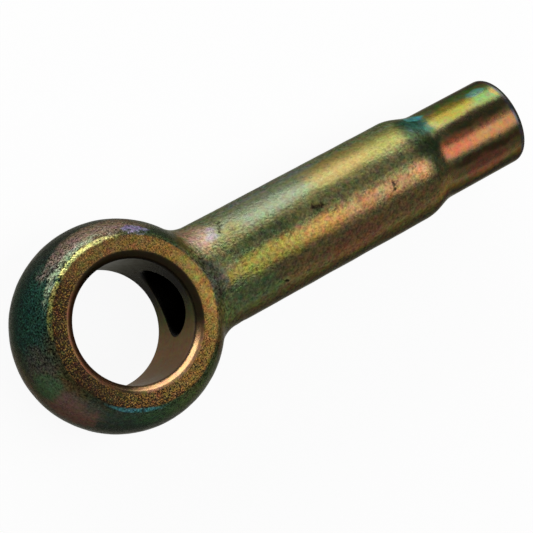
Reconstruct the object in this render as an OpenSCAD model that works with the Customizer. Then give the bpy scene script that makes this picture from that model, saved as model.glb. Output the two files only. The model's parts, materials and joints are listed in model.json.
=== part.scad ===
// Rod end eye: a forged ball on a round shank, turned and drilled into an eye.
// The ball has two flat faces and a pin bore, the shank steps down to a thinner spigot,
// and one hole runs along the shank from the end of the spigot into the pin bore.
// Millimetres. The origin is the centre of the pin bore, +Z is the bore axis, +X runs along the shank.

/* [Eye] */
// Diameter of the ball that the eye is cut from
eye_d = 43.5; // [40:0.5:56]
// Thickness of the eye between its two flat faces
eye_thickness = 26; // [24:0.5:31]
// Diameter of the pin bore
bore_d = 25; // [18:0.5:30]
// Width of the 45 degree chamfer at both ends of the pin bore
bore_chamfer = 1.3; // [0.4:0.1:2.4]

/* [Neck] */
// Radius of the fillet that runs round the shank where it leaves the ball
neck_fillet_r = 8; // [3:0.5:14]

/* [Shank] */
// Diameter of the shank
shank_d = 23; // [20.5:0.5:25.5]
// Distance from the bore axis to the place where the shoulder starts
shank_length = 72.5; // [45:0.5:140]

/* [Shoulder] */
// Angle of the tapered shoulder to the shank axis
shoulder_angle = 22; // [12:1:45]
// Rounding where the shank runs over into the shoulder
shoulder_round_r = 8; // [1:0.5:12]
// Fillet where the shoulder runs out into the spigot
shoulder_fillet_r = 5; // [1:0.5:10]

/* [Spigot] */
// Diameter of the spigot at the end of the shank
spigot_d = 19.6; // [17:0.2:22]
// Length of the straight part of the spigot, up to its end
spigot_length = 20; // [6:0.5:60]
// Rounding of the spigot's end edge
end_round_r = 1.5; // [0.4:0.1:2.4]

/* [Hole along the shank] */
// Diameter of the hole
hole_d = 14.5; // [8:0.5:16]
// Width of the 45 degree chamfer at its mouth
hole_chamfer = 0.6; // [0.2:0.1:1.2]

/* [Hidden] */
$fn = 128;
// How far a cut runs past the surface that it opens
overrun = 1;

ball_r = eye_d / 2;
bore_r = bore_d / 2;
shank_r = shank_d / 2;
spigot_r = spigot_d / 2;
hole_r = hole_d / 2;

// Neck fillet: an arc that touches the ball and the shank
neck_end = sqrt(pow(ball_r + neck_fillet_r, 2) - pow(shank_r + neck_fillet_r, 2));
neck_start = neck_end * ball_r / (ball_r + neck_fillet_r);
neck_start_r = (shank_r + neck_fillet_r) * ball_r / (ball_r + neck_fillet_r);

// Shoulder: two arcs joined by a straight taper, with the arcs limited by the step from shank to spigot
shoulder_step = shank_r - spigot_r;
most_of_step = 0.8;
arc_drop = (shoulder_round_r + shoulder_fillet_r) * (1 - cos(shoulder_angle));
arc_limit = min(1, most_of_step * shoulder_step / arc_drop);
round_r = shoulder_round_r * arc_limit;
fillet_r = shoulder_fillet_r * arc_limit;
taper_drop = shoulder_step - arc_drop * arc_limit;
shoulder_length = (round_r + fillet_r) * sin(shoulder_angle) + taper_drop / tan(shoulder_angle);

// Spigot: its end edge is rounded as far as the wall round the hole's mouth allows
spigot_start = shank_length + shoulder_length;
end_x = spigot_start + spigot_length;
most_of_wall = 0.9;
end_edge_r = min(end_round_r, most_of_wall * (spigot_r - hole_r - hole_chamfer));

quarter_turn = 90;
half_turn = 180;
arc_steps = 10;

// Points of an arc from one angle to another, both ends among them
function arc(centre, r, from, to) = [
    for (i = [0:arc_steps])
        let (angle = from + (to - from) * i / arc_steps)
            centre + r * [cos(angle), sin(angle)]
];

// Half section of the ball, drawn as [radius, distance along the shank]
module ball_section() {
    intersection() {
        circle(r = ball_r);
        translate([0, -ball_r])
            square([ball_r, eye_d]);
    }
}

// Half section of the neck, from the ball down to the shank
module neck_section() {
    difference() {
        translate([0, neck_start])
            square([neck_start_r, neck_end - neck_start]);
        translate([shank_r + neck_fillet_r, neck_end])
            circle(r = neck_fillet_r);
    }
}

// Half section of the shank, its shoulder, the spigot and the spigot's round end edge
module shank_section() {
    polygon(concat(
        [[0, 0], [shank_r, 0]],
        arc([shank_r - round_r, shank_length], round_r, 0, shoulder_angle),
        arc([spigot_r + fillet_r, spigot_start], fillet_r, half_turn + shoulder_angle, half_turn),
        arc([spigot_r - end_edge_r, end_x - end_edge_r], end_edge_r, 0, quarter_turn),
        [[0, end_x]]
    ));
}

// Outside of the part: ball, neck, shank and spigot are round about one axis, and the ball's sides are cut flat
module forging() {
    intersection() {
        rotate([0, quarter_turn, 0])
            rotate_extrude() {
                ball_section();
                neck_section();
                shank_section();
            }
        cube([2 * (end_x + overrun), eye_d + 2 * overrun, eye_thickness], center = true);
    }
}

// Chamfer that opens upwards from a hole of radius r, with its top at z = 0
module mouth_chamfer(r, width) {
    translate([0, 0, -width])
        cylinder(r1 = r, r2 = r + width + overrun, h = width + overrun);
}

// Pin bore through the eye with a chamfer at both faces
module pin_bore() {
    cylinder(r = bore_r, h = eye_thickness + 2 * overrun, center = true);
    for (side = [0, 1])
        mirror([0, 0, side])
            translate([0, 0, eye_thickness / 2])
                mouth_chamfer(bore_r, bore_chamfer);
}

// Hole from the end of the spigot into the pin bore, with a chamfered mouth
module shank_hole() {
    rotate([0, quarter_turn, 0]) {
        cylinder(r = hole_r, h = end_x + overrun);
        translate([0, 0, end_x])
            mouth_chamfer(hole_r, hole_chamfer);
    }
}

module rod_end_eye() {
    color("darkkhaki")
        difference() {
            forging();
            pin_bore();
            shank_hole();
        }
}

rod_end_eye();
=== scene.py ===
"""Looks of a forged rod end eye in yellow passivated zinc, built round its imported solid."""
import json
import math

import bpy
import numpy as np
from mathutils import Matrix, Vector


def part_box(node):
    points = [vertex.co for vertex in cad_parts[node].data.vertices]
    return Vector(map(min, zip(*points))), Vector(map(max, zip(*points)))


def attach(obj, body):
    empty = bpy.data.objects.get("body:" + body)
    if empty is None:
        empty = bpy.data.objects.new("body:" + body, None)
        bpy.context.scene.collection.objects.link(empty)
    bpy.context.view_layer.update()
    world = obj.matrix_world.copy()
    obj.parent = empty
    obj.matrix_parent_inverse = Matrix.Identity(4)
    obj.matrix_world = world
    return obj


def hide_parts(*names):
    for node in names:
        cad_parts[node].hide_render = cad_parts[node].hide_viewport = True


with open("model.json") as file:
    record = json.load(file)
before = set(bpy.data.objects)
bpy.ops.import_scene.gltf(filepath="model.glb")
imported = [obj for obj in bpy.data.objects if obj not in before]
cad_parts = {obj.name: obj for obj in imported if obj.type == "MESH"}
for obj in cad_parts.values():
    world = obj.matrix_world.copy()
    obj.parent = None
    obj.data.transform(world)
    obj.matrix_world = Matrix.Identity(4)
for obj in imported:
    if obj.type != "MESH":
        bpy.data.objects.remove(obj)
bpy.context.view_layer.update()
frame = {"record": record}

MM = 0.001
NODE = "rod_end_eye"
PIECE = "plated_eye"

# Sizes of the part in millimetres. What the frame states is read from it
LOW, HIGH = (np.array(corner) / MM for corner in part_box(NODE))
MOUNTS = {mount["name"]: mount.get("dims", {}) for mount in frame["record"]["mounts"]}
BALL_R = -LOW[0]
HALF_THICKNESS = HIGH[2]
END_X = HIGH[0]
BORE_R = MOUNTS["eye_bore"]["r_mm"]
HOLE_R = MOUNTS["shank_hole"]["r_mm"]
SPIGOT_R = MOUNTS["spigot"]["r_mm"]
SHANK_R = 11.5
BORE_CHAMFER = 1.3
HOLE_CHAMFER = 0.6
NECK_FILLET_R = 8.0
END_ROUND_R = 1.5

# Shoulder, worn a little softer than the solid's
SHOULDER_MIDDLE = 76.2
SHOULDER_ANGLE = math.radians(18.5)
SHOULDER_ROUND_R = 10.0
SHOULDER_FILLET_R = 8.0

# Radius of the upper face, and where neck, shank, taper and spigot start or end along the shank
FACE_R = math.sqrt(BALL_R ** 2 - HALF_THICKNESS ** 2)
NECK_END = math.sqrt((BALL_R + NECK_FILLET_R) ** 2 - (SHANK_R + NECK_FILLET_R) ** 2)
NECK_START = NECK_END * BALL_R / (BALL_R + NECK_FILLET_R)
HALF_BEND = math.tan(SHOULDER_ANGLE / 2)
TAPER = math.tan(SHOULDER_ANGLE)
HALF_TAPER = (SHANK_R - SPIGOT_R) / TAPER / 2
TAPER_START = SHOULDER_MIDDLE - HALF_TAPER
SHANK_END = TAPER_START - SHOULDER_ROUND_R * HALF_BEND
SPIGOT_START = SHOULDER_MIDDLE + HALF_TAPER + SHOULDER_FILLET_R * HALF_BEND

# Worn edges, in millimetres
FACE_EDGE_R = 0.9
CHAMFER_EDGE_R = 0.4
HOLE_EDGE_R = 0.5

# Forged skin: a few sizes of unevenness, in millimetres,
# as (shortest wave, longest wave, depth, number of waves)
SKIN_WAVES = ((6.0, 14.0, 0.06, 14), (1.8, 4.0, 0.025, 36))
SKIN_SPREAD = 2.0
SKIN_SEED = 11
SPIGOT_SKIN = 0.2
SKIN_FADE = 3.0

# Marks in the skin, in millimetres, as (start, end, half width, depth, darkness):
# two nicks by the neck and three pits on the shank
MARKS = (
    ((26.9, 9.5, 6.5), (25.7, 7.5, 8.7), 0.34, 0.11, 0.65),
    ((27.9, 7.2, 9.0), (28.8, 6.5, 9.4), 0.28, 0.08, 0.45),
    ((45.5, 3.2, 11.0), (46.9, 2.8, 11.2), 0.68, 0.09, 0.92),
    ((33.8, -7.6, 8.6), (34.2, -7.7, 8.5), 0.52, 0.12, 0.90),
    ((64.0, -0.7, 11.4), (64.2, -1.7, 11.3), 0.50, 0.12, 0.90),
)

# Crease across the upper side where the neck runs into the shank
CREASE_X = 25.5
CREASE_SKEW = 0.12
CREASE_WIDTH = 0.8
CREASE_DEPTH = 0.09

# Mesh: grid cells in millimetres, longer ones along the plain length of the shank
CELL = 0.46
LONG_CELL = 0.72
LONG_FROM = 30.0
LONG_TO = 69.0
MARGIN = 1.2
CHUNKS = 24

# Moves that bring its points onto the surface and spread them evenly
SETTLE_STEPS = 5
RELAX_STEPS = 4
RESETTLE_STEPS = 2
PROBE = 0.02
LEAST_SLOPE = 0.1
LONGEST_STEP = 0.3

# Steps along the axes of the grid, and each axis with the two across it
AXES = np.eye(3, dtype=int)
TURNS = ((0, 1, 2), (1, 2, 0), (2, 0, 1))


def round_max(a, b, radius):
    """The greater of two distances, with the edge where they meet rounded to a radius."""
    corner = np.hypot(np.maximum(a + radius, 0), np.maximum(b + radius, 0))
    return np.minimum(np.maximum(a, b), -radius) + corner


def soft_max(a, b, width):
    """The greater of two values, blended where they differ by less than a width."""
    share = np.maximum(width - np.abs(a - b), 0) / width
    return np.maximum(a, b) + share * share * width / 4


def stem_radius(x):
    """Radius of the neck, shank, shoulder and spigot at a place along the shank."""
    reach = np.clip(NECK_END - x, 0, NECK_FILLET_R)
    neck = NECK_FILLET_R - np.sqrt(NECK_FILLET_R ** 2 - reach ** 2)
    taper = SHANK_R - (x - TAPER_START) * TAPER
    shank = -soft_max(-taper, np.full_like(x, -SHANK_R), SHOULDER_ROUND_R * HALF_BEND * TAPER)
    return neck + soft_max(shank, np.full_like(x, SPIGOT_R), SHOULDER_FILLET_R * HALF_BEND * TAPER)


def wave_sets():
    """Directions, phases and depths of the waves that make up the forged skin."""
    rng = np.random.default_rng(SKIN_SEED)
    sets = []
    for shortest, longest, depth, count in SKIN_WAVES:
        direction = rng.normal(size=(count, 3))
        direction /= np.linalg.norm(direction, axis=1)[:, None]
        length = rng.uniform(shortest, longest, count)
        phase = rng.uniform(0, 2 * math.pi, count)
        sets.append((direction * (2 * math.pi / length)[:, None], phase, depth))
    return sets


WAVES = wave_sets()


def skin(p):
    """How far the forged skin lies below the true form, nearly even on the spigot."""
    sunk = np.zeros(len(p))
    for direction, phase, depth in WAVES:
        level = np.sin(p @ direction.T + phase).sum(1) * math.sqrt(2 / len(phase))
        sunk += depth * (1 - np.clip(level / SKIN_SPREAD, -1, 1)) / 2
    spigot = np.clip((p[:, 0] - SHANK_END) / SKIN_FADE, 0, 1)
    sunk *= 1 - (1 - SPIGOT_SKIN) * spigot
    for start, end, half_width, depth, _ in MARKS:
        along = np.subtract(end, start)
        share = np.clip((p - start) @ along / (along @ along), 0, 1)
        away = p - start - share[:, None] * along
        sunk += depth * np.exp(-(away ** 2).sum(1) / half_width ** 2)
    crease = (p[:, 0] - CREASE_X - CREASE_SKEW * p[:, 1]) / CREASE_WIDTH
    return sunk + CREASE_DEPTH * np.exp(-crease ** 2) * (p[:, 2] > 0)


def part(p):
    """Signed distance of points from the worn part, in millimetres, negative inside."""
    x, y, z = p.T
    r = np.hypot(y, z)
    from_bore = np.hypot(x, y) - BORE_R
    slope = (stem_radius(x + PROBE) - stem_radius(x - PROBE)) / (2 * PROBE)
    stem = (r - stem_radius(x)) / np.sqrt(1 + slope ** 2)
    outside = np.where(x < NECK_START, np.hypot(x, r) - BALL_R, stem) + skin(p)
    d = round_max(outside, x - END_X, END_ROUND_R)
    d = round_max(d, np.abs(z) - HALF_THICKNESS, FACE_EDGE_R)
    d = round_max(d, -from_bore, CHAMFER_EDGE_R)
    chamfer = np.abs(z) - HALF_THICKNESS + BORE_CHAMFER - from_bore
    d = round_max(d, chamfer * math.sqrt(0.5), CHAMFER_EDGE_R)
    d = round_max(d, np.minimum(HOLE_R - r, x), HOLE_EDGE_R)
    mouth = x - END_X + HOLE_CHAMFER - r + HOLE_R
    return round_max(d, mouth * math.sqrt(0.5), HOLE_EDGE_R)


def slope_of(p):
    """Gradient of the distance at points."""
    columns = []
    for axis in AXES:
        step = PROBE * axis
        columns.append((part(p + step) - part(p - step)) / (2 * PROBE))
    return np.column_stack(columns)


def settle(points, steps):
    """Moves points onto the surface along the gradient."""
    for _ in range(steps):
        gradient = slope_of(points)
        steepness = np.maximum((gradient ** 2).sum(1), LEAST_SLOPE)
        move = (part(points) / steepness)[:, None] * gradient
        points = points - np.clip(move, -LONGEST_STEP, LONGEST_STEP)
    return points


def grid_lines():
    """Grid lines along the three axes, further apart along the plain length of the shank."""
    lines = [
        np.concatenate([
            np.arange(LOW[0] - MARGIN, LONG_FROM, CELL),
            np.arange(LONG_FROM, LONG_TO, LONG_CELL),
            np.arange(LONG_TO, END_X + MARGIN, CELL),
        ])
    ]
    for axis in (1, 2):
        count = int((HIGH[axis] - LOW[axis] + 2 * MARGIN) / CELL)
        middle = (HIGH[axis] + LOW[axis]) / 2
        lines.append(middle + (np.arange(count) - (count - 1) / 2) * CELL)
    return lines


def crossed_cells(inside):
    """Grid cells with corners on both sides of the surface."""
    halves = (slice(None, -1), slice(1, None))
    corners = [inside[a, b, c] for a in halves for b in halves for c in halves]
    count = np.sum(corners, axis=0)
    return np.argwhere((count > 0) & (count < len(corners)))


def crossing_points(lines, value, cells):
    """One point in each cell: the mean of the places where the surface crosses the cell's edges."""
    total = np.zeros((len(cells), 3))
    hits = np.zeros(len(cells))
    for axis, side, up in TURNS:
        for a, b in ((0, 0), (0, 1), (1, 0), (1, 1)):
            start = cells + a * AXES[side] + b * AXES[up]
            stop = start + AXES[axis]
            first, last = value[tuple(start.T)], value[tuple(stop.T)]
            crossed = (first < 0) != (last < 0)
            share = np.where(crossed, first / np.where(crossed, first - last, 1), 0)
            for k, line in enumerate(lines):
                at = line[start[:, k]]
                along = line[stop[:, k]] - at
                total[:, k] += np.where(crossed, at + share * along, 0)
            hits += crossed
    return total / hits[:, None]


def net_faces(inside, cells):
    """Four-cornered faces that look outwards, one round each grid edge that crosses the surface."""
    number = np.full(np.subtract(inside.shape, 1), -1)
    number[tuple(cells.T)] = np.arange(len(cells))
    faces = []
    for axis, side, up in TURNS:
        low = np.delete(inside, -1, axis)
        high = np.delete(inside, 0, axis)
        edges = np.argwhere(low != high)
        around = []
        for a, b in ((-1, -1), (0, -1), (0, 0), (-1, 0)):
            cell = edges + a * AXES[side] + b * AXES[up]
            around.append(number[tuple(cell.T)])
        quads = np.column_stack(around)
        outward = low[tuple(edges.T)]
        faces.append(np.where(outward[:, None], quads, quads[:, ::-1]))
    return np.concatenate(faces)


def surface_net(lines):
    """Points and faces of the surface, with one point in each grid cell that it crosses."""
    grid = np.stack(np.meshgrid(*lines, indexing="ij"), -1)
    chunks = np.array_split(grid.reshape(-1, 3), CHUNKS)
    value = np.concatenate([part(chunk) for chunk in chunks]).reshape(grid.shape[:3])
    inside = value < 0
    cells = crossed_cells(inside)
    return crossing_points(lines, value, cells), net_faces(inside, cells)


def relax(points, faces):
    """Evens out the spacing of the points: each moves towards the middle of its neighbours."""
    total = np.zeros_like(points)
    hits = np.zeros(len(points))
    for corner in range(4):
        here, there = faces[:, corner], faces[:, (corner + 1) % 4]
        for a, b in ((here, there), (there, here)):
            for k in range(3):
                total[:, k] += np.bincount(a, points[b, k], len(points))
            hits += np.bincount(a, minlength=len(points))
    return (points + total / hits[:, None]) / 2


def plated_eye():
    """The forging as one closed mesh."""
    points, faces = surface_net(grid_lines())
    points = settle(points, SETTLE_STEPS)
    for _ in range(RELAX_STEPS):
        points = settle(relax(points, faces), RESETTLE_STEPS)
    points = np.clip(points, LOW, HIGH)
    normals = slope_of(points)
    normals /= np.linalg.norm(normals, axis=1)[:, None]
    mesh = bpy.data.meshes.new(PIECE)
    mesh.from_pydata((points * MM).tolist(), [], faces.tolist())
    mesh.shade_smooth()
    mesh.normals_split_custom_set_from_vertices(normals.tolist())
    piece = bpy.data.objects.new(PIECE, mesh)
    bpy.context.scene.collection.objects.link(piece)
    return piece


# Colours of the film on stem and rim, linear
MINT = (0.13, 0.152, 0.102)
YELLOW = (0.215, 0.165, 0.06)
LIME = (0.16, 0.155, 0.04)
SPRING = (0.10, 0.155, 0.05)
LEMON = (0.15, 0.125, 0.022)
CITRON = (0.176, 0.168, 0.034)
GOLD = (0.188, 0.146, 0.033)
ORANGE = (0.25, 0.15, 0.042)
APRICOT = (0.22, 0.105, 0.043)
SALMON = (0.25, 0.08, 0.038)
TAN = (0.21, 0.122, 0.056)
ROSE = (0.27, 0.19, 0.135)
PINK_GREY = (0.205, 0.148, 0.118)
VIOLET = (0.23, 0.20, 0.33)
LILAC = (0.24, 0.215, 0.25)
CYAN = (0.09, 0.34, 0.36)
FROST = (0.15, 0.165, 0.16)
PEACH = (0.32, 0.16, 0.07)
REED = (0.108, 0.145, 0.065)
FERN = (0.044, 0.08, 0.042)
PLUM = (0.116, 0.068, 0.057)
PALE_LIME = (0.44, 0.42, 0.15)
PALE_MINT = (0.25, 0.30, 0.19)
SAGE = (0.16, 0.18, 0.11)
KHAKI = (0.187, 0.178, 0.074)
OLIVE = (0.062, 0.056, 0.022)
DRAB = (0.08, 0.07, 0.034)
GREEN = (0.03, 0.045, 0.022)
MOSS = (0.075, 0.105, 0.045)
TEAL = (0.010, 0.037, 0.028)
DEEP_TEAL = (0.036, 0.105, 0.095)
SLATE = (0.028, 0.036, 0.03)
PINE = (0.027, 0.046, 0.038)
STONE = (0.05, 0.044, 0.037)
DUSK = (0.13, 0.094, 0.078)
# Painted shade in the neck's valley
PAINTED_SHADE_ASH = (0.06, 0.065, 0.045)
BROWN = (0.08, 0.047, 0.018)
WARM_BROWN = (0.195, 0.135, 0.058)
MAROON = (0.20, 0.076, 0.047)
MAUVE = (0.088, 0.052, 0.04)
# Painted shade on the spigot: a band between its highlights and a line below them
PAINTED_SHADE_OLIVE = (0.037, 0.031, 0.015)
PAINTED_SHADE_UMBER = (0.055, 0.032, 0.016)
BLACK_BROWN = (0.016, 0.012, 0.007)

# Colours of the turned faces, the chamfers, the bores and the spigot's end, linear
FACE_DARK = (0.028, 0.017, 0.010)
FACE_BROWN = (0.075, 0.043, 0.015)
FACE_GOLD = (0.13, 0.08, 0.022)
FACE_LIGHT = (0.19, 0.118, 0.038)
FACE_ORANGE = (0.23, 0.13, 0.036)
CHAMFER_BROWN = (0.04, 0.03, 0.015)
CHAMFER_ORANGE = (0.22, 0.10, 0.05)
CHAMFER_HIGHLIGHT = (0.46, 0.27, 0.13)
BORE_GREY = (0.095, 0.095, 0.055)
BORE_ROSE = (0.23, 0.15, 0.115)
BORE_DARK = (0.032, 0.03, 0.022)
# Painted shade in the hole along the shank
HOLE_SHADE = (0.012, 0.011, 0.009)
# Painted shade on the rounded rim at the spigot's end
END_RIM_SHADE = (0.07, 0.067, 0.066)

# Hues that the film drifts through where nothing else is laid over it
FILM_STOPS = ((0.28, TEAL), (0.40, GREEN), (0.49, OLIVE), (0.56, BROWN), (0.64, OLIVE), (0.74, MAUVE))

# Hues of the turned faces, from dark to light
FACE_STOPS = ((0.28, FACE_DARK), (0.40, FACE_BROWN), (0.52, FACE_GOLD), (0.70, FACE_ORANGE))

# Painted light and shade on the bore's wall, from one side to the other: lighter rose at -Y, then grey,
# then dark towards +Y
BORE_SHADING = ((0.02, BORE_ROSE), (0.25, BORE_GREY), (0.60, BORE_DARK))

# Zones of colour, each as (along, across, half length, half width, colour, strength), in millimetres.
# On the stem: along the shank from the bore axis, and round it from the top towards +Y. Many of the stem's
# zones are partly painted light and shade.
STEM_ZONES = (
    # Ground colours of the stem, partly painted light and shade: lighter over the top, where the two
    # highlights fall, darker between them and down the sides
    (58, 3.8, 60, 8.2, KHAKI, 1.0),
    (48, 14.5, 40, 5.0, SAGE, 0.85),
    (42, 14.2, 13, 3.6, FROST, 0.7),
    (50, -7.6, 62, 3.8, WARM_BROWN, 0.95),
    (25, -7.5, 10, 5.0, REED, 0.9),
    (52, -14.5, 64, 6.0, DRAB, 0.9),
    (52, -8.0, 8, 3.5, MAROON, 0.5),
    (32, 2.2, 10, 2.4, MOSS, 0.75),
    # Shank, on the side towards +Y: film hues that are also a painted highlight under the upper highlight
    (50, 9.3, 34, 4.0, LIME, 0.8),
    (37, 9.2, 15, 4.0, MINT, 0.9),
    (56, 9.2, 9, 3.8, YELLOW, 0.9),
    # Shank, along the top: film hues that are also a painted highlight under the lower highlight
    (50, -1.2, 32, 2.8, TAN, 0.9),
    (30, -1.2, 7, 2.8, CITRON, 0.9),
    (37, -1.3, 7, 2.6, GOLD, 0.9),
    (46, -1.2, 6, 2.6, ORANGE, 0.9),
    (57, -1.0, 2.5, 2.0, APRICOT, 0.6),
    (62.2, -2.0, 1.2, 0.9, SALMON, 0.6),
    (71.5, -1.0, 3.0, 2.4, PEACH, 0.85),
    # Shoulder: painted shade in dark green where the taper turns away, and deep teal
    (75.8, 5.0, 4.4, 9.5, GREEN, 0.95),
    (77.0, 10.5, 3.0, 4.0, DEEP_TEAL, 0.7),
    # Spigot: light hues under its two highlights, partly painted highlight, with painted shade in a dark
    # olive band between them and a dark umber line below them
    (90, 4.2, 11, 2.6, PAINTED_SHADE_OLIVE, 0.9),
    (90, 13.4, 9, 2.2, MOSS, 0.75),
    (94.5, 8.8, 5, 3.2, SPRING, 0.95),
    (86, 9.0, 6, 3.0, LEMON, 0.95),
    (93.5, 10.9, 2.6, 1.4, CYAN, 0.35),
    (97.6, 8.6, 0.9, 2.4, ORANGE, 0.5),
    (90, -0.2, 11, 3.0, APRICOT, 1.0),
    (82.5, 0.2, 5.5, 3.0, SALMON, 1.0),
    (88, -4.8, 10, 1.3, PAINTED_SHADE_UMBER, 0.85),
    (88, -8.2, 6, 3.0, MAROON, 0.9),
    # Painted reflection: a bright cyan spot where the shoulder meets the spigot
    (78.5, 13.6, 2.2, 2.2, CYAN, 0.85),
    # Neck, with painted shade in ash grey where it dips from the face into the shank
    (21, 10.0, 4.0, 4.5, ROSE, 0.95),
    (24.0, 9.0, 1.5, 2.4, LILAC, 0.5),
    (28.6, 8.0, 2.6, 1.5, GOLD, 0.45),
    (22.5, -1.4, 1.8, 1.6, GOLD, 0.8),
    (18.6, 0.4, 3.2, 4.6, PAINTED_SHADE_ASH, 0.95),
)

# On the eye: round it along the edge of its upper face, from the end away from the shank towards +Y,
# and down from that edge
RIM_ZONES = (
    (12, 7, 14, 10, TEAL, 0.95),
    (-18, 8, 16, 10, PINE, 0.9),
    (25, 10, 10, 4, SLATE, 0.8),
    (28, 4.2, 11, 3.4, PINK_GREY, 0.95),
    (36, 1.8, 2.4, 1.6, VIOLET, 0.8),
    (0.5, 6, 4, 6, STONE, 0.7),
    (-25, 1.5, 6, 5, FERN, 0.75),
    (-8.8, 8, 5.6, 6, PLUM, 0.8),
    (-3, 7, 3, 5, FERN, 0.85),
    (-33, 3, 8, 4, MOSS, 0.6),
    (22, 4.4, 4.5, 2.0, DUSK, 0.75),
    # Painted highlight: a pale mint band beside the bright edge of the upper face
    (21, 1.7, 10, 1.0, PALE_MINT, 0.65),
)

# Painted highlights along the rounded edge of the upper face, in the same way: pale lime and lime where the
# light catches it, and a painted cyan reflection further round
EDGE_HIGHLIGHTS = (
    (22, 0.3, 10, 0.6, PALE_LIME, 0.95),
    (11, 0.3, 7, 0.6, LIME, 0.9),
    (-18.5, 0.45, 6, 0.33, CYAN, 0.65),
)

# On the chamfers of the bore, in the same way: a painted highlight in orange on one side and a light
# crescent of painted highlight on the other, over a dark ground that is partly painted shade
CHAMFER_ZONES = (
    (2, 0, 16, 1, CHAMFER_ORANGE, 0.8),
    (-32, 0, 13, 1, CHAMFER_HIGHLIGHT, 1.0),
)

# On the faces: along the shank from the bore axis, and across it. The dark oval at the far end is painted
# shade and the light oval towards +Y painted light.
FACE_ZONES = (
    (-13, -7.5, 5.0, 7.0, FACE_DARK, 0.5),
    (0.5, 14.6, 10, 3.0, FACE_LIGHT, 0.45),
    (14.8, 4.5, 3.0, 3.6, LIME, 0.5),
    (15.5, -3.0, 1.6, 3.0, ORANGE, 0.5),
)

# Noise in the finish, as (waves per millimetre, octaves, share of the finer ones)
DRIFT_NOISE = (0.11, 3.0, 0.5)
WAVER_NOISE = (0.35, 4.0, 0.5)
FACE_NOISE = (0.25, 2.0, 0.5)
MOTTLE_NOISE = (0.85, 3.0, 0.5)
SPECK_NOISE = (2.3, 3.0, 0.5)
STEM_GRAIN_NOISE = (1.8, 4.0, 0.6)
EYE_GRAIN_NOISE = (2.7, 4.0, 0.6)
SPECKLE_NOISE = (3.0, 2.0, 0.6)
NOISE_MIDDLE = 0.5

# Borders of the regions, in millimetres from the place that each belongs to
STEM_BORDER = (-4.0, 2.0)
FACE_BORDER = (-0.25, -0.08)
CHAMFER_BORDER = (-0.45, -0.20)
BORE_BORDER = (0.30, 0.10)
HOLE_BORDER = (0.45, 0.25)
END_BORDER = (-2.0, -1.4)

# How far the borders of the zones stray, in millimetres, and the share of that on stem, rim, edge and marks
WAVER_REACH = 7.0
MOTTLE_REACH = 3.0
STEM_STRAY = (0.6, 0.3, 0.0)
RIM_STRAY = (0.9, 0.6, 0.0)
EDGE_STRAY = (0.9, 0.1, 0.0)
MARK_STRAY = (0.3, 0.3, 0.3)
MARK_FRAY = 1.6

# Where a mark starts to darken and is darkest, in half widths,
# and the noise at which the painted highlight on the edge breaks up and specks appear
MARK_BORDER = (1.5, 0.3)
EDGE_HIGHLIGHT_BREAK = (0.28, 0.44)
SPECK_BORDER = (0.42, 0.30)

# Border of every oval: the share of its half sizes where it starts to fade, and where it ends
OVAL_START = 0.55
OVAL_END = 1.25

# Oval on the stem where hues are even, as (centre, half sizes), in millimetres
EVEN_STEM = ((46.0, 9.6, 0.0), (34.0, 5.0, 1.0))

# Ovals on the rim where the grain is coarse and where it is calm, in the same way. The coarse grain is
# partly painted glints, where light rakes across the upper rim.
COARSE_RIM = ((11.0, 4.0, 0.0), (13.0, 7.0, 1.0))
CALM_RIM = ((-13.0, 8.0, 0.0), (14.0, 8.0, 1.0))

# How strongly hues change from spot to spot
EYE_MOTTLE = 0.7
STEM_MOTTLE = 1.2
FACE_MOTTLE = 1.3
EVEN_MOTTLE = 0.65

# How strongly the grain shades them, and how dark the specks are
EYE_GRAIN = 5.5
COARSE_GRAIN = 10.0
CALM_GRAIN = 2.4
FACE_GRAIN = 3.6
STEM_GRAIN = 2.6
EVEN_GRAIN = 1.3
SMOOTH_GRAIN = 0.25
SPECK_STRENGTH = 0.35

# Turned faces: painted light and shade that lighten the hue along the shank, middle hue, drift, and speckle
# at the two ends
FACE_LIGHT_SWEEP = 0.018
FACE_MIDDLE = 0.47
FACE_DRIFT = 0.35
FACE_SPECKLE = (4.4, 2.0)

# Gloss and relief
METALLIC = 0.92
EDGE_TINT = (0.28, 0.27, 0.21)
SKIN_ROUGHNESS = 0.30
SPIGOT_ROUGHNESS = 0.25
TURNED_ROUGHNESS = 0.36
ROUGHNESS_SPREAD = 0.2
GRAIN_DEPTH = 0.18 * MM
STEM_BUMP = 0.33
CALM_BUMP = 0.6
SMOOTH_BUMP = 0.11
BUMP_FADE_END = 2 * NECK_END

# Sockets of the colour mix node, which has several of the same name
MIX_SHARE, MIX_A, MIX_B = 0, 6, 7
MIX_RESULT = 2


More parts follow.
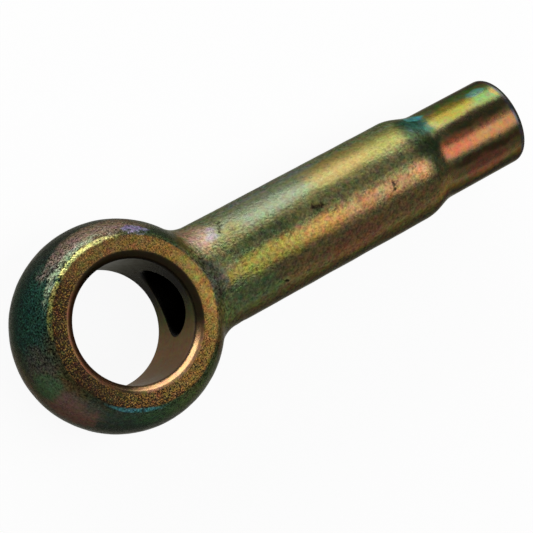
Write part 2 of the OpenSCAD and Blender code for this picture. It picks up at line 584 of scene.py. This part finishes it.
class Shader:
    """Short ways to add nodes to one material."""

    def __init__(self, name):
        self.material = bpy.data.materials.new(name)
        self.material.use_nodes = True
        self.tree = self.material.node_tree
        self.tree.nodes.clear()

    def add(self, kind, *inputs, **settings):
        """A new node with its settings, and its inputs as pairs of socket and value."""
        node = self.tree.nodes.new(kind)
        for name, value in settings.items():
            setattr(node, name, value)
        for socket, value in inputs:
            self.put(node.inputs[socket], value)
        return node

    def put(self, socket, value):
        """Links a socket to another one, or sets it to a constant."""
        if isinstance(value, bpy.types.NodeSocket):
            self.tree.links.new(value, socket)
        else:
            socket.default_value = value

    def math(self, operation, *values):
        return self.add("ShaderNodeMath", *enumerate(values), operation=operation).outputs[0]

    def vector(self, operation, *values, output=0):
        return self.add("ShaderNodeVectorMath", *enumerate(values), operation=operation).outputs[output]

    def length(self, vector):
        return self.vector("LENGTH", vector, output=1)

    def fade(self, value, start, end):
        """0 at start, 1 at end, smooth between."""
        inputs = (("Value", value), ("From Min", start), ("From Max", end))
        node = self.add("ShaderNodeMapRange", *inputs, interpolation_type="SMOOTHSTEP")
        return node.outputs["Result"]

    def between(self, share, a, b):
        """A value that goes from a to b as the share goes from 0 to 1."""
        node = self.add("ShaderNodeMapRange", ("Value", share), ("To Min", a), ("To Max", b))
        return node.outputs["Result"]

    def across(self, value, place, border):
        """0 before the border near a place, 1 past it."""
        start, end = border
        return self.fade(value, place + start, place + end)

    def mix(self, share, a, b, blend="MIX"):
        """A colour that goes from a to b as the share goes from 0 to 1, or a blended with b."""
        a, b = (c if isinstance(c, bpy.types.NodeSocket) else (*c, 1.0) for c in (a, b))
        inputs = ((MIX_SHARE, share), (MIX_A, a), (MIX_B, b))
        node = self.add("ShaderNodeMix", *inputs, data_type="RGBA", blend_type=blend)
        return node.outputs[MIX_RESULT]

    def ramp(self, value, stops):
        """The colour that a value from 0 to 1 has on a row of stops."""
        node = self.add("ShaderNodeValToRGB", ("Fac", value))
        elements = node.color_ramp.elements
        while len(elements) < len(stops):
            elements.new(0.5)
        for element, (place, colour) in zip(elements, stops):
            element.position = place
            element.color = (*colour, 1.0)
        return node.outputs["Color"]

    def surface(self, shader):
        """The finished material."""
        self.add("ShaderNodeOutputMaterial", ("Surface", shader.outputs[0]))
        return self.material


class PlatedSteel(Shader):
    """Yellow passivated zinc over forged steel, worked out in millimetres of the part's own frame."""

    def __init__(self):
        super().__init__("plated_steel")
        coordinates = self.add("ShaderNodeTexCoord").outputs["Object"]
        self.place = self.vector("MULTIPLY", coordinates, (1 / MM,) * 3)
        self.x, self.y, self.z = self.add("ShaderNodeSeparateXYZ", ("Vector", self.place)).outputs
        self.height = self.math("ABSOLUTE", self.z)
        self.plan = self.vector("MULTIPLY", self.place, (1.0, 1.0, 0.0))
        self.from_axis = self.length(self.plan)
        self.mottle = self.noise(MOTTLE_NOISE)
        self.places_on_part()
        eye_grain = self.noise(EYE_GRAIN_NOISE)["Fac"]
        stem_grain = self.noise(STEM_GRAIN_NOISE)["Fac"]
        self.grain = self.between(self.on_stem, eye_grain, stem_grain)
        self.charts()

    def noise(self, settings):
        """Outputs of a noise that fills the part's space."""
        scale, octaves, fine_share = settings
        inputs = (("Vector", self.place), ("Scale", scale), ("Detail", octaves), ("Roughness", fine_share))
        return self.add("ShaderNodeTexNoise", *inputs).outputs

    def places_on_part(self):
        """Shares from 0 to 1 that tell the regions of the part from each other."""
        self.on_stem = self.across(self.x, NECK_START, STEM_BORDER)
        self.on_spigot = self.fade(self.x, TAPER_START, SPIGOT_START)
        self.on_face = self.across(self.height, HALF_THICKNESS, FACE_BORDER)
        chamfer = HALF_THICKNESS - BORE_CHAMFER - BORE_R
        rise = self.math("SUBTRACT", self.height, self.from_axis)
        self.on_chamfer = self.across(rise, chamfer, CHAMFER_BORDER)
        self.in_bore = self.across(self.from_axis, BORE_R, BORE_BORDER)
        from_shank_axis = self.length(self.vector("MULTIPLY", self.place, (0.0, 1.0, 1.0)))
        in_hole = self.across(from_shank_axis, HOLE_R, HOLE_BORDER)
        self.in_hole = self.math("MULTIPLY", in_hole, self.fade(self.x, 0.0, BORE_R / 2))
        smooth = self.math("MAXIMUM", self.on_spigot, self.in_bore)
        self.smooth = self.math("MAXIMUM", smooth, self.on_chamfer)

    def charts(self):
        """Flat charts of stem and rim, in millimetres, and how far zone borders stray on them."""
        waver = self.swing(self.noise(WAVER_NOISE))
        mottle = self.swing(self.mottle)
        shift = self.vector("MULTIPLY", waver, (WAVER_REACH,) * 3)
        self.shift = self.vector("MULTIPLY_ADD", mottle, (MOTTLE_REACH,) * 3, shift)
        around = self.math("MULTIPLY", self.math("ARCTAN2", self.y, self.z), SHANK_R)
        self.stem_chart = self.add("ShaderNodeCombineXYZ", ("X", self.x), ("Y", around)).outputs[0]
        self.even = self.within(self.stem_chart, *EVEN_STEM)
        turn = self.math("ARCTAN2", self.y, self.math("MULTIPLY", self.x, -1.0))
        lift = self.math("ARCSINE", self.math("DIVIDE", self.z, BALL_R))
        drop = self.math("SUBTRACT", math.asin(HALF_THICKNESS / BALL_R), lift)
        down = self.math("MULTIPLY", drop, BALL_R)
        round_edge = self.math("MULTIPLY", turn, FACE_R)
        self.rim_chart = self.add("ShaderNodeCombineXYZ", ("X", round_edge), ("Y", down)).outputs[0]
        self.calm = self.within(self.rim_chart, *CALM_RIM)

    def swing(self, noise):
        """A noise's colour less its middle, as a vector to either side of zero."""
        return self.vector("SUBTRACT", noise["Color"], (NOISE_MIDDLE,) * 3)

    def strayed(self, chart, share):
        """A chart whose places stray, so that what lies on it has uneven borders."""
        return self.vector("MULTIPLY_ADD", self.shift, share, chart)

    def within(self, chart, centre, half):
        """1 inside an oval on a chart, 0 well outside it, with a soft border."""
        away = self.vector("SUBTRACT", chart, centre)
        away = self.vector("MULTIPLY", away, tuple(1 / h for h in half))
        return self.fade(self.length(away), OVAL_END, OVAL_START)

    def zones(self, colour, chart, table):
        """Lays the colours of a table over a colour, each in its oval."""
        for along, across, half_length, half_width, zone_colour, strength in table:
            share = self.within(chart, (along, across, 0.0), (half_length, half_width, 1.0))
            colour = self.mix(self.math("MULTIPLY", share, strength), colour, zone_colour)
        return colour

    def from_line(self, place, start, end):
        """Distance of a place from a straight line between two points."""
        along = end - start
        off = self.vector("SUBTRACT", place, start)
        share = self.vector("DOT_PRODUCT", off, along / along.length_squared, output=1)
        share = self.add("ShaderNodeClamp", ("Value", share)).outputs[0]
        return self.length(self.vector("MULTIPLY_ADD", share, -along, off))

    def film(self):
        """Colour of the plated skin: a drifting dark film, zones on rim, edge and stem that are partly
        painted light and shade, dark marks, and painted shade on the rounded rim at the spigot's end.
        """
        colour = self.ramp(self.noise(DRIFT_NOISE)["Fac"], FILM_STOPS)
        stem = self.zones(colour, self.strayed(self.stem_chart, STEM_STRAY), STEM_ZONES)
        rim = self.zones(colour, self.strayed(self.rim_chart, RIM_STRAY), RIM_ZONES)
        # Painted highlight and painted cyan reflection along the edge of the upper face, broken up by noise
        edge = self.zones(rim, self.strayed(self.rim_chart, EDGE_STRAY), EDGE_HIGHLIGHTS)
        rim = self.mix(self.fade(self.mottle["Fac"], *EDGE_HIGHLIGHT_BREAK), rim, edge)
        colour = self.marked(self.mix(self.on_stem, rim, stem))
        # Painted shade on the rounded rim at the spigot's end
        return self.mix(self.across(self.x, END_X, END_BORDER), colour, END_RIM_SHADE)

    def marked(self, colour):
        """Darkens nicks and pits, with frayed borders."""
        place = self.strayed(self.place, MARK_STRAY)
        fray = self.math("SUBTRACT", self.grain, NOISE_MIDDLE)
        for start, end, half_width, _, darkness in MARKS:
            away = self.from_line(place, Vector(start), Vector(end))
            away = self.math("MULTIPLY_ADD", fray, MARK_FRAY, away)
            share = self.fade(away, *(half_width * border for border in MARK_BORDER))
            colour = self.mix(self.math("MULTIPLY", share, darkness), colour, BLACK_BROWN)
        return colour

    def turned(self, colour):
        """Colours of the turned faces, the bore with its chamfers, and the hole along the shank, with
        painted light and shade on faces, chamfers and bore wall and painted shade in the hole.
        """
        drift = self.math("SUBTRACT", self.noise(FACE_NOISE)["Fac"], NOISE_MIDDLE)
        fine = self.math("SUBTRACT", self.noise(SPECKLE_NOISE)["Fac"], NOISE_MIDDLE)
        # Painted light and shade: the faces lighten along the shank
        sweep = self.math("MULTIPLY_ADD", self.x, FACE_LIGHT_SWEEP, FACE_MIDDLE)
        sweep = self.math("MULTIPLY_ADD", drift, FACE_DRIFT, sweep)
        speckle = self.between(self.fade(self.x, -BALL_R, BORE_R), *FACE_SPECKLE)
        sweep = self.math("MULTIPLY_ADD", fine, speckle, sweep)
        face = self.zones(self.ramp(sweep, FACE_STOPS), self.strayed(self.plan, STEM_STRAY), FACE_ZONES)
        colour = self.mix(self.on_face, colour, face)
        round_bore = self.vector("MULTIPLY", self.rim_chart, (1.0, 0.0, 0.0))
        # Painted highlights on the chamfers, over a dark ground that is partly painted shade
        colour = self.mix(self.on_chamfer, colour, self.zones(CHAMFER_BROWN, round_bore, CHAMFER_ZONES))
        # Painted light and shade across the bore's wall
        wall = self.ramp(self.fade(self.y, -BORE_R, BORE_R), BORE_SHADING)
        colour = self.mix(self.in_bore, colour, wall)
        # Painted shade in the hole along the shank
        return self.mix(self.in_hole, colour, HOLE_SHADE)

    def mottled(self, colour):
        """Hues that change from spot to spot, and dark specks."""
        strength = self.between(self.on_stem, EYE_MOTTLE, STEM_MOTTLE)
        strength = self.between(self.even, strength, EVEN_MOTTLE)
        strength = self.between(self.on_face, strength, FACE_MOTTLE)
        tint = self.vector("MULTIPLY_ADD", self.swing(self.mottle), strength, (1.0,) * 3)
        colour = self.mix(1.0, colour, tint, "MULTIPLY")
        speck = self.fade(self.noise(SPECK_NOISE)["Fac"], *SPECK_BORDER)
        return self.mix(self.math("MULTIPLY", speck, SPECK_STRENGTH), colour, BLACK_BROWN)

    def grained(self, colour):
        """Grain that shades a colour, strongest on the eye, where it is partly painted glints, and faint on
        smooth surfaces.
        """
        amount = self.between(self.within(self.rim_chart, *COARSE_RIM), EYE_GRAIN, COARSE_GRAIN)
        amount = self.between(self.calm, amount, CALM_GRAIN)
        amount = self.between(self.fade(self.x, NECK_START, NECK_END), amount, STEM_GRAIN)
        amount = self.between(self.even, amount, EVEN_GRAIN)
        amount = self.between(self.on_face, amount, FACE_GRAIN)
        amount = self.between(self.smooth, amount, SMOOTH_GRAIN)
        grain = self.math("SUBTRACT", self.grain, NOISE_MIDDLE)
        shade = self.math("MULTIPLY_ADD", grain, amount, 1.0)
        return self.mix(1.0, colour, shade, "MULTIPLY")

    def finished(self):
        """The whole finish as one material."""
        colour = self.grained(self.mottled(self.turned(self.film())))
        rough = self.between(self.on_spigot, SKIN_ROUGHNESS, SPIGOT_ROUGHNESS)
        rough = self.between(self.math("MAXIMUM", self.on_face, self.in_bore), rough, TURNED_ROUGHNESS)
        fine = self.math("SUBTRACT", self.mottle["Fac"], NOISE_MIDDLE)
        rough = self.math("MULTIPLY_ADD", fine, ROUGHNESS_SPREAD, rough)
        strength = self.between(self.calm, 1.0, CALM_BUMP)
        strength = self.between(self.fade(self.x, NECK_START, BUMP_FADE_END), strength, STEM_BUMP)
        strength = self.between(self.smooth, strength, SMOOTH_BUMP)
        inputs = (("Height", self.grain), ("Strength", strength), ("Distance", GRAIN_DEPTH))
        bump = self.add("ShaderNodeBump", *inputs)
        shader = self.add(
            "ShaderNodeBsdfPrincipled",
            ("Base Color", colour),
            ("Roughness", rough),
            ("Metallic", METALLIC),
            ("Specular Tint", (*EDGE_TINT, 1.0)),
            ("Normal", bump.outputs["Normal"]),
        )
        return self.surface(shader)


# Stage
FLOOR_SIDE = 6.0
FLOOR_GAP = 0.02 * MM
FLOOR_COLOUR = (0.95, 0.95, 0.95)
FLOOR_GLOW = 0.93


def floor_material():
    """Pale floor that is white to the camera and in reflections, and keeps the part's shadow."""
    s = Shader("floor")
    rays = s.add("ShaderNodeLightPath").outputs
    seen = s.math("MAXIMUM", rays["Is Camera Ray"], rays["Is Glossy Ray"])
    seen = s.math("MAXIMUM", seen, rays["Is Transmission Ray"])
    matt = s.add("ShaderNodeBsdfDiffuse", ("Color", (*FLOOR_COLOUR, 1.0)))
    glow = s.add("ShaderNodeEmission", ("Color", (1.0, 1.0, 1.0, 1.0)), ("Strength", 1.0))
    share = s.math("MULTIPLY", seen, FLOOR_GLOW)
    return s.surface(s.add("ShaderNodeMixShader", (0, share), (1, matt.outputs[0]), (2, glow.outputs[0])))


def add_floor():
    """One large flat sheet just under the lower face of the eye."""
    half = FLOOR_SIDE / 2
    level = LOW[2] * MM - FLOOR_GAP
    corners = [(-half, -half, level), (half, -half, level), (half, half, level), (-half, half, level)]
    mesh = bpy.data.meshes.new("floor")
    mesh.from_pydata(corners, [], [(0, 1, 2, 3)])
    floor = bpy.data.objects.new("floor", mesh)
    floor.data.materials.append(floor_material())
    bpy.context.scene.collection.objects.link(floor)


# Soft boxes, as (direction from the part, distance, length, width, watts)
SOFT_BOXES = (
    ((0.41, -0.18, 0.89), 0.60, 0.70, 0.29, 1.74),
    ((0.14, 0.95, 0.268), 0.60, 1.30, 0.34, 5.15),
)
WORLD_LEVEL = 0.28
AIM_FOR_LIGHTS = Vector((0.04, 0.0, 0.0))


def add_lights():
    """Two long soft boxes that lie along the shank, and an even dim surround."""
    for number, (direction, distance, length, width, watts) in enumerate(SOFT_BOXES):
        lamp = bpy.data.lights.new(f"soft_box_{number}", "AREA")
        lamp.shape = "RECTANGLE"
        lamp.size = length
        lamp.size_y = width
        lamp.energy = watts
        back = Vector(direction).normalized()
        side = Vector((1.0, 0.0, 0.0))
        side = (side - back * side.dot(back)).normalized()
        turn = Matrix((side, back.cross(side), back)).transposed().to_4x4()
        box = bpy.data.objects.new(lamp.name, lamp)
        box.matrix_world = Matrix.Translation(AIM_FOR_LIGHTS + back * distance) @ turn
        box.visible_camera = False
        bpy.context.scene.collection.objects.link(box)
    world = bpy.data.worlds.new("studio")
    world.use_nodes = True
    background = world.node_tree.nodes["Background"]
    background.inputs["Color"].default_value = (1.0, 1.0, 1.0, 1.0)
    background.inputs["Strength"].default_value = WORLD_LEVEL
    bpy.context.scene.world = world


# Camera
AIM = Vector((0.0347, -0.0039, 0.0))
TOWARDS_CAMERA = Vector((-0.368, 0.078, 0.927))
CAMERA_DISTANCE = 0.4153
SHANK_CLIMB = math.radians(28.7)
LENS = 135.0
SENSOR = 36.0


def add_camera():
    """The camera of the photograph: the shank climbs to the right and leads away."""
    back = TOWARDS_CAMERA.normalized()
    along = Vector((1.0, 0.0, 0.0))
    along = (along - back * along.dot(back)).normalized()
    right = Matrix.Rotation(-SHANK_CLIMB, 3, back) @ along
    turn = Matrix((right, back.cross(right), back)).transposed().to_4x4()
    lens = bpy.data.cameras.new("camera")
    lens.sensor_width = SENSOR
    lens.lens = LENS
    camera = bpy.data.objects.new("camera", lens)
    camera.matrix_world = Matrix.Translation(AIM + back * CAMERA_DISTANCE) @ turn
    bpy.context.scene.collection.objects.link(camera)
    bpy.context.scene.camera = camera


add_camera()
add_floor()
add_lights()
eye = plated_eye()
eye.data.materials.append(PlatedSteel().finished())
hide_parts(NODE)
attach(eye, "root")

bpy.context.scene.view_settings.view_transform = "Standard"
bpy.context.view_layer.update()
